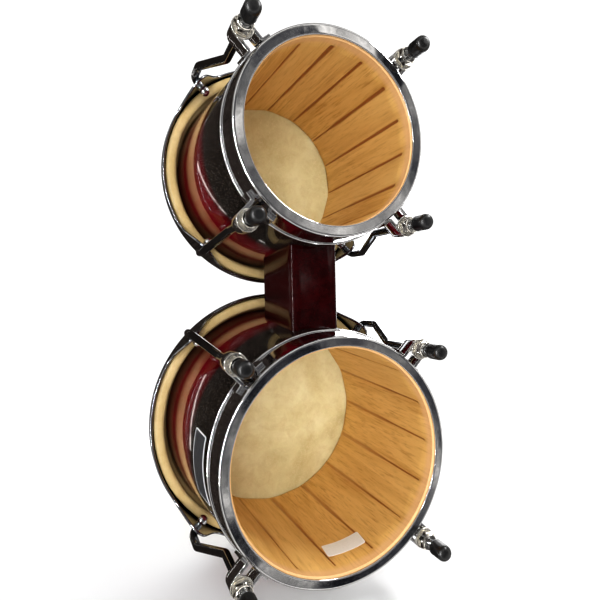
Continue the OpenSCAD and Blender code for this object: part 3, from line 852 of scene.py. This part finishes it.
def rubber_tips(drum):
    """Bullet-shaped rubber tips with a thin moulded rim at the top."""
    low, high = span("rubber_tips_" + drum.size)
    r, k = TIP_R, TIP_ROUND
    outline = [(0, low)] + arc(r - k, low + k, k, -90, 0, 12)
    outline += [(r, z) for z in steps(low + k + MM, high - 2.2 * MM, 4)]
    neck, bore = r - 0.25 * MM, ROD_R + 0.05 * MM
    outline += [(r, high - 1.9 * MM), (neck, high - 1.7 * MM), (neck, high - 1.4 * MM),
                (r, high - 1.2 * MM)]
    outline += arc(r - 0.6 * MM, high - 0.6 * MM, 0.6 * MM, 0, 90, 4)
    outline += [(bore, high), (bore, high - 2 * MM), (0, high - 2 * MM)]
    parts = at_lugs(lambda angle: turned_at(drum, angle, outline, 48))
    obj = piece(drum.size + "_rubber_tips", *parts, RUBBER, sharp=50)
    finished(obj, drum.body, "rubber_tips_" + drum.size)


# -------- counterhoops

def hoop_low(drum, degrees):
    """Lower edge of the counterhoop: level, and dipping to a rounded tongue at each ear."""
    level = drum.hoop_top - HOOP_WALL
    away = min(abs((degrees - a + 180) % 360 - 180) for a in LUG_ANGLES)
    u = drum.hoop_r * math.sin(math.radians(away)) / EAR_HALF
    if away > 45 or abs(u) >= 1:
        return level
    return level - EAR_DROP * (0.5 + 0.5 * math.cos(math.pi * u)) ** 1.25


def counterhoop(drum):
    """Pressed hoop: rolled top corner, flange inward over the flesh hoop, four ears with holes."""
    t, k = HOOP_SHEET, HOOP_CORNER
    r, top = drum.hoop_r, drum.hoop_top
    flange = arc(r - k, top - k, k, 0, 90, 7)
    rim = drum.hoop_inside + t / 2
    flange += [(a, top) for a in steps(r - k - MM, rim + 0.6 * MM, 3)]
    flange += arc(rim, top - t / 2, t / 2, 90, 270, 8)
    flange += [(a, top - t) for a in steps(rim + 0.6 * MM, r - t - 1.6 * MM, 3)]
    flange += arc(r - t - 1.2 * MM, top - t - 1.2 * MM, 1.2 * MM, 90, 0, 4)
    rows, columns = 14, 320
    verts = []
    for j in range(columns):
        degrees = 360 * j / columns
        low = hoop_low(drum, degrees)
        outline = list(flange)
        outline += [(r - t, z) for z in steps(top - t - 2.4 * MM, low + t / 2 + 0.3 * MM, rows)]
        outline += arc(r - t / 2, low + t / 2, t / 2, 180, 360, 8)
        outline += [(r, z) for z in steps(low + t / 2 + 0.3 * MM, top - k - 0.6 * MM, rows)]
        verts += [drum.at(a, degrees, z) for a, z in outline]
    faces = grid_faces(columns, len(outline), True, True)
    obj = piece(drum.size + "_counterhoop", verts, faces, DARK)
    cut_ear_holes(drum, obj)
    finished(obj, drum.body, "counterhoop_" + drum.size)


def cut_ear_holes(drum, obj):
    """Drills the hole for a rod's hook through each ear."""
    sides = 32
    ends = [tuple(range(sides))[::-1], tuple(range(sides, 2 * sides))]

    def bit(angle):
        outline = [(drum.hoop_r - 9 * MM, EAR_HOLE_R), (drum.hoop_r + 6 * MM, EAR_HOLE_R)]
        verts, faces = turned_across(drum, angle, outline, sides)
        return verts, faces + ends

    drill = piece("drill_" + drum.size, *at_lugs(bit))
    cut = obj.modifiers.new("ear_holes", "BOOLEAN")
    cut.operation = "DIFFERENCE"
    cut.solver = "EXACT"
    cut.object = drill
    graph = bpy.context.evaluated_depsgraph_get()
    drilled = bpy.data.meshes.new_from_object(obj.evaluated_get(graph))
    obj.modifiers.clear()
    obj.data = drilled
    smoothed(drilled)
    bpy.data.objects.remove(drill)


# -------- heads

def head_path(drum):
    """Middle line of the rawhide: across the head, over the edge, down and round the flesh hoop."""
    h = SKIN_T / 2
    top = drum.edge_z + SKIN_LIFT + h
    turn_r = drum.edge_r - EDGE_ROUND
    path = [(r, top) for r in steps(0, turn_r - 2 * MM, 30)]
    path += arc(turn_r, top - SKIN_BEND, SKIN_BEND, 90, 6, 8)
    low, high = drum.flesh
    inner, outer = drum.flesh_in + h, drum.flesh_out - h
    k = HIDE_ROUND
    path += [(drum.edge_r + MM, top - 7 * MM), (drum.edge_r + 1.5 * MM, high + 3 * MM),
             (inner - 0.35 * MM, high), (inner - 0.1 * MM, high - 2 * MM),
             (inner, low + h + k + MM)]
    path += arc(inner + k, low + h + k, k, 180, 270, 6)
    path += arc(outer - k, low + h + k, k, 270, 360, 6)
    path += arc(outer - k, high - h - k, k, 0, 90, 6)
    return path + [(outer - k - 1.5 * MM, high - h)]


def hide_wobble(drum):
    """How the rawhide strays from its outline: lumpy round the flesh hoop, rippled on the head."""
    low, high = drum.flesh
    hub = Vector(((drum.flesh_in + drum.flesh_out) / 2, (low + high) / 2))

    def wobble(r, degrees, z):
        a = math.radians(degrees)
        if z < high + MM and r > drum.flesh_in - MM:
            where = Vector((math.cos(a), math.sin(a), drum.x * 9))
            lump = 0.45 * MM * noise.noise(where * 5 + Vector((0, 0, z * 60)))
            lump += 0.2 * MM * noise.noise(where * 17)
            away = (Vector((r, z)) - hub).normalized() * min(lump, 0.1 * MM)
            return r + away.x, z + away.y
        where = Vector((r * 25 * math.cos(a), r * 25 * math.sin(a), drum.x * 50))
        ripple = 0.22 * MM * noise.noise(where)
        return r, z + ripple * smooth((drum.edge_r - 6 * MM - r) / (20 * MM))

    return wobble


def head(drum):
    """Rawhide head in one sheet, its turned-up edge wrapped round the flesh hoop."""
    path = head_path(drum)
    cut = 2 * sum(math.dist(a, b) for a, b in zip(path, path[1:]))
    obj = lathe(drum.size + "_head", drum, thickened(path, SKIN_T), HIDE, hide_wobble(drum), 60)
    middle = drum.edge_z + SKIN_LIFT + SKIN_T / 2
    reach = [(math.hypot(v.co.x - drum.x, v.co.y), v.co.z) for v in obj.data.vertices]
    keep_values(obj.data, "outside", [float(r > drum.edge_r - 2.5 * MM or z > middle) for r, z in reach])
    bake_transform(obj)
    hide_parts("skin_" + drum.size, "flesh_hoop_" + drum.size)


# -------- block and labels

def centre_block():
    """Block between the drums, its long edges eased and its ends fitted to the shells."""
    low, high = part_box("centre_block")
    big, small = DRUMS
    outline = rectangle(-high.y, low.z, high.y, high.z, BLOCK_EDGE, 6)
    section = []
    for (y, z), (y2, z2) in zip(outline, outline[1:] + outline[:1]):
        count = max(1, round(math.dist((y, z), (y2, z2)) / (6 * MM)))
        section += [(y + (y2 - y) * k / count, z + (z2 - z) * k / count) for k in range(count)]
    rows = 14
    verts = []
    for i in range(rows + 1):
        for y, z in section:
            start = big.x + math.sqrt(big.wall_out(z) ** 2 - y * y) + 0.05 * MM
            end = small.x - math.sqrt(small.wall_out(z) ** 2 - y * y) - 0.05 * MM
            verts.append((start + (end - start) * i / rows, y, z))
    cols = len(section)
    faces = grid_faces(rows + 1, cols, False, True)
    faces += [tuple(range(cols))[::-1], tuple(range(rows * cols, (rows + 1) * cols))]
    obj = piece("centre_block_visual", verts, faces, BLOCK_LACQUER, sharp=50)
    finished(obj, "shells", "centre_block")


def label_lines(length, count):
    """Places along a label's side: close together at its rims, even between them."""
    margin = [0, 0.2 * MM, 0.5 * MM, LABEL_RIM, 1.2 * MM]
    inner = 1.6 * MM
    lines = [d - length / 2 for d in margin] + steps(inner - length / 2, length / 2 - inner, count)
    return lines + [length / 2 - d for d in margin[::-1]]


def in_round_corner(x, y, width, height):
    """A label's point, pulled in where the label's corner is round."""
    over_x = max(abs(x) - (width / 2 - LABEL_CORNER), 0)
    over_y = max(abs(y) - (height / 2 - LABEL_CORNER), 0)
    if over_x and over_y:
        shrink = max(over_x, over_y) / math.hypot(over_x, over_y)
        x = math.copysign(width / 2 - LABEL_CORNER + over_x * shrink, x)
        y = math.copysign(height / 2 - LABEL_CORNER + over_y * shrink, y)
    return x, y


def two_layers(rows, cols):
    """Faces of two grids, one over the other, and of the border between them."""
    n = rows * cols
    faces = grid_faces(rows, cols, False, False)
    faces += [tuple(i + n for i in f)[::-1] for f in faces]
    border = list(range(cols))
    border += [i * cols + cols - 1 for i in range(1, rows)]
    border += [(rows - 1) * cols + j for j in range(cols - 2, -1, -1)]
    border += [i * cols for i in range(rows - 2, 0, -1)]
    return faces + [(a, b, b + n, a + n) for a, b in zip(border, border[1:] + border[:1])]


def label(name, node_name, wall, outward, turn, z, size, tilt, paper):
    """A thin label with round corners that follows the large shell's wall."""
    drum = DRUMS[0]
    width, height = size
    across, along = label_lines(width, 24), label_lines(height, 12)
    lean = math.radians(tilt)
    verts = []
    rim = []
    for lift in (0.03 * MM, 0.28 * MM):
        for y0 in along:
            for x0 in across:
                x, y = in_round_corner(x0, y0, width, height)
                sideways = x * math.cos(lean) - y * math.sin(lean)
                up = z + x * math.sin(lean) + y * math.cos(lean)
                r = wall(up) + lift * outward
                verts.append(drum.at(r, turn + math.degrees(sideways / r), up))
                inset = min(width / 2 - abs(x0), height / 2 - abs(y0))
                rim.append(float(inset < LABEL_RIM * 0.9))
    obj = piece(name, verts, two_layers(len(along), len(across)), paper)
    keep_values(obj.data, "rim", rim)
    finished(obj, "shells", node_name)


def labels():
    """The barcode label's and the printed label's blank stand-ins, both on the large shell."""
    big = DRUMS[0]
    label("blank_inner_label", "inner_label", lambda z: big.wall_in(z) - 0.15 * MM, -1, 168.5,
          big.base + 32.5 * MM, (33 * MM, 17 * MM), 6.5, INNER_PAPER)
    label("blank_outer_label", "outer_label", big.wall_out, 1, 267,
          big.base + 48.5 * MM, (54 * MM, 23 * MM), -4.5, OUTER_PAPER)


# -------- stage, camera and light

def stage_disc(name, centre, turned, radius, grey, glowing):
    """A pale disc seen from its front only, which fades out towards its rim."""
    made, tree, shader = material(name, Roughness=0.9, Specular_IOR_Level=0.1,
                                  Base_Color=(grey, grey, grey, 1))
    clear = node(tree, "BsdfTransparent").outputs[0]
    where = node(tree, "TexCoord").outputs["Object"]
    distance = node(tree, "VectorMath", {"operation": "LENGTH"}, _0=where).outputs["Value"]
    fade = levels(tree, distance, radius * 0.3, radius * 0.95, 1, 0)
    front = maths(tree, "SUBTRACT", 1.0, node(tree, "NewGeometry").outputs["Backfacing"])
    seen = maths(tree, "MULTIPLY", fade, front)
    glow = node(tree, "Emission", Color=(1, 1, 1, 1), Strength=0.9).outputs[0]
    pale = node(tree, "MixShader", _0=glowing, _1=shader.outputs[0], _2=glow)
    mix = node(tree, "MixShader", _0=seen, _1=clear, _2=pale.outputs[0])
    tree.links.new(mix.outputs[0], tree.nodes["Material Output"].inputs["Surface"])
    sides = 64
    turns = steps(0, 2 * math.pi, sides)[:-1]
    mesh = bpy.data.meshes.new(name)
    mesh.from_pydata([(radius * math.cos(a), radius * math.sin(a), 0) for a in turns], [],
                     [tuple(range(sides))])
    mesh.materials.append(made)
    obj = placed(name, mesh)
    obj.matrix_world = Matrix.Translation(centre) @ turned
    obj.visible_diffuse = False
    obj.visible_glossy = False
    obj.visible_transmission = False
    obj.visible_shadow = False


def softbox(name, at, aim, size, power, colour=(1, 1, 1), mirrored=True, lighting=True):
    """A rectangular area light that looks at a point. Mirrored ones show in reflections, and ones
    that aren't lighting show only there."""
    light = bpy.data.lights.new(name, "AREA")
    light.shape = "RECTANGLE"
    light.size, light.size_y = size
    light.energy = power
    light.color = colour
    obj = placed(name, light)
    obj.location = at
    obj.rotation_euler = (Vector(aim) - Vector(at)).to_track_quat("-Z", "Y").to_euler()
    obj.visible_glossy = mirrored
    obj.visible_diffuse = lighting


def band(tree, height, low, full_low, full_high, high):
    """1 between two heights, and a ramp down to 0 on both sides."""
    return maths(tree, "MULTIPLY", levels(tree, height, low, full_low),
                 levels(tree, height, high, full_high))


def mirrored_room(tree):
    """What metal and lacquer reflect: dark speckles and a side band above, mottled greys and the
    bright band of a window below, and a thin tilted line of light overhead."""
    where = node(tree, "TexCoord").outputs["Generated"]
    split = node(tree, "SeparateXYZ", Vector=where).outputs
    height = split["Z"]
    leaning = maths(tree, "MULTIPLY_ADD", split["X"], -0.025, height)
    speckle = clouds(tree, where, 120, 2, 0.7)
    above = ramp(tree, speckle, (0.42, (0.010, 0.008, 0.007)), (0.62, (0.075, 0.060, 0.052)))
    broad = clouds(tree, where, 5.5, 4, 0.62, 1.2)
    below = ramp(tree, broad, (0.38, (0.012, 0.013, 0.016)), (0.46, (0.07, 0.07, 0.08)),
                 (0.53, (0.19, 0.187, 0.183)), (0.59, (0.40, 0.39, 0.375)), (0.66, (1.3, 1.26, 1.2)))
    ringed = blended(tree, band(tree, height, -0.64, -0.58, -0.38, -0.34), below, (1.3, 1.27, 1.22))
    sided = blended(tree, band(tree, height, 0.10, 0.14, 0.34, 0.40), above, (0.8, 0.77, 0.72))
    gaps = levels(tree, clouds(tree, where, 5, 2), 0.40, 0.50)
    line = maths(tree, "MULTIPLY", gaps, band(tree, leaning, 0.8828, 0.8834, 0.8840, 0.8846))
    topped = blended(tree, line, sided, (7, 6.7, 6.4))
    return blended(tree, levels(tree, height, 0.02, -0.10), topped, ringed)


def studio():
    """White to the camera, soft grey fill light, and a room that only reflections see."""
    world = bpy.data.worlds.new("studio")
    bpy.context.scene.world = world
    world.use_nodes = True
    tree = world.node_tree
    tree.nodes.clear()
    path = node(tree, "LightPath").outputs
    mirrored = node(tree, "Background", Color=mirrored_room(tree), Strength=1.0).outputs[0]
    fill = node(tree, "Background", Color=(0.95, 0.97, 1.0, 1), Strength=0.45).outputs[0]
    white = node(tree, "Background", Color=(1, 1, 1, 1), Strength=1.0).outputs[0]
    lit = node(tree, "MixShader", _0=path["Is Glossy Ray"], _1=fill, _2=mirrored).outputs[0]
    mix = node(tree, "MixShader", _0=path["Is Camera Ray"], _1=lit, _2=white).outputs[0]
    tree.links.new(mix, node(tree, "OutputWorld").inputs["Surface"])


def camera():
    """From below the open ends, looking up into the drums, with the small drum at the top."""
    eye = Vector((0.01401, -0.15675, -0.26709))
    right = Vector((-0.02404, 0.93087, -0.36455))
    back = right.cross(Vector((0.99961, 0.02759, 0.00453))).normalized()
    up = back.cross(right).normalized()
    data = bpy.data.cameras.new("camera")
    data.lens = 26.88
    data.sensor_width = 36
    data.shift_x = 0.0302
    data.shift_y = -0.0036
    data.clip_start = 0.01
    obj = placed("camera", data)
    turn = Matrix((right.normalized(), up, back)).transposed().to_4x4()
    obj.matrix_world = Matrix.Translation(eye) @ turn
    bpy.context.scene.camera = obj


def lights():
    """Two warm softboxes into the open ends, and others for the outside and for reflections."""
    warm = (1, 0.985, 0.96)
    softbox("key", (0.30, -0.40, -0.95), (0, 0, 0.10), (0.5, 0.5), 8.2, warm, mirrored=False)
    softbox("fill", (-0.45, -0.30, -0.85), (0, 0, 0.10), (0.5, 0.5), 4.6, warm, mirrored=False)
    softbox("glint", (0.95, 0.85, -0.30), (0, 0, 0.05), (0.3, 0.3), 7)
    softbox("side", (-0.10, -1.10, 0.10), (0, 0, 0.08), (0.8, 0.5), 5, mirrored=False)
    softbox("top", (0.20, 0.75, 1.00), (0, 0, 0.10), (0.9, 0.9), 12)
    softbox("over", (-0.20, -0.30, 1.30), (0, 0, 0.10), (0.9, 0.9), 5, mirrored=False)
    softbox("strip", (0, -1.10, -0.42), (0, 0, 0.05), (1.2, 0.02), 12, lighting=False)


def stage():
    """The floor under the drums, and a pale sheet at the large drum's end for a soft shadow."""
    low = Vector(cad_box[0])
    flat = Matrix.Identity(4)
    upright = Matrix.Rotation(math.radians(90), 4, "Y")
    stage_disc("floor", (0, 0, low.z - 0.2 * MM), flat, 1.6, 0.86, 0.5)
    stage_disc("backdrop", (low.x - 0.5 * MM, 0, 0.1), upright, 0.62, 0.95, 0.0)


# -------- assembly

def dress_cad_nodes():
    """Steel pieces whose CAD shape is right keep it, with a finish of their own."""
    for size in ("large", "small"):
        for name in ("backing_plate_" + size, "block_bolts_" + size):
            obj = frame["nodes"][name]
            obj.data.materials.clear()
            obj.data.materials.append(ZINC)


bpy.context.scene.view_settings.view_transform = "Standard"
bpy.context.scene.view_settings.look = "Medium High Contrast"
camera()
studio()
lights()
for drum in DRUMS:
    shell(drum)
    bottom_ring(drum)
    lugs(drum)
    washers(drum)
    for k in range(len(LUG_ANGLES)):
        nut(drum, k)
    rods(drum)
    rod_balls(drum)
    rubber_tips(drum)
    counterhoop(drum)
    head(drum)
centre_block()
labels()
dress_cad_nodes()
stage()
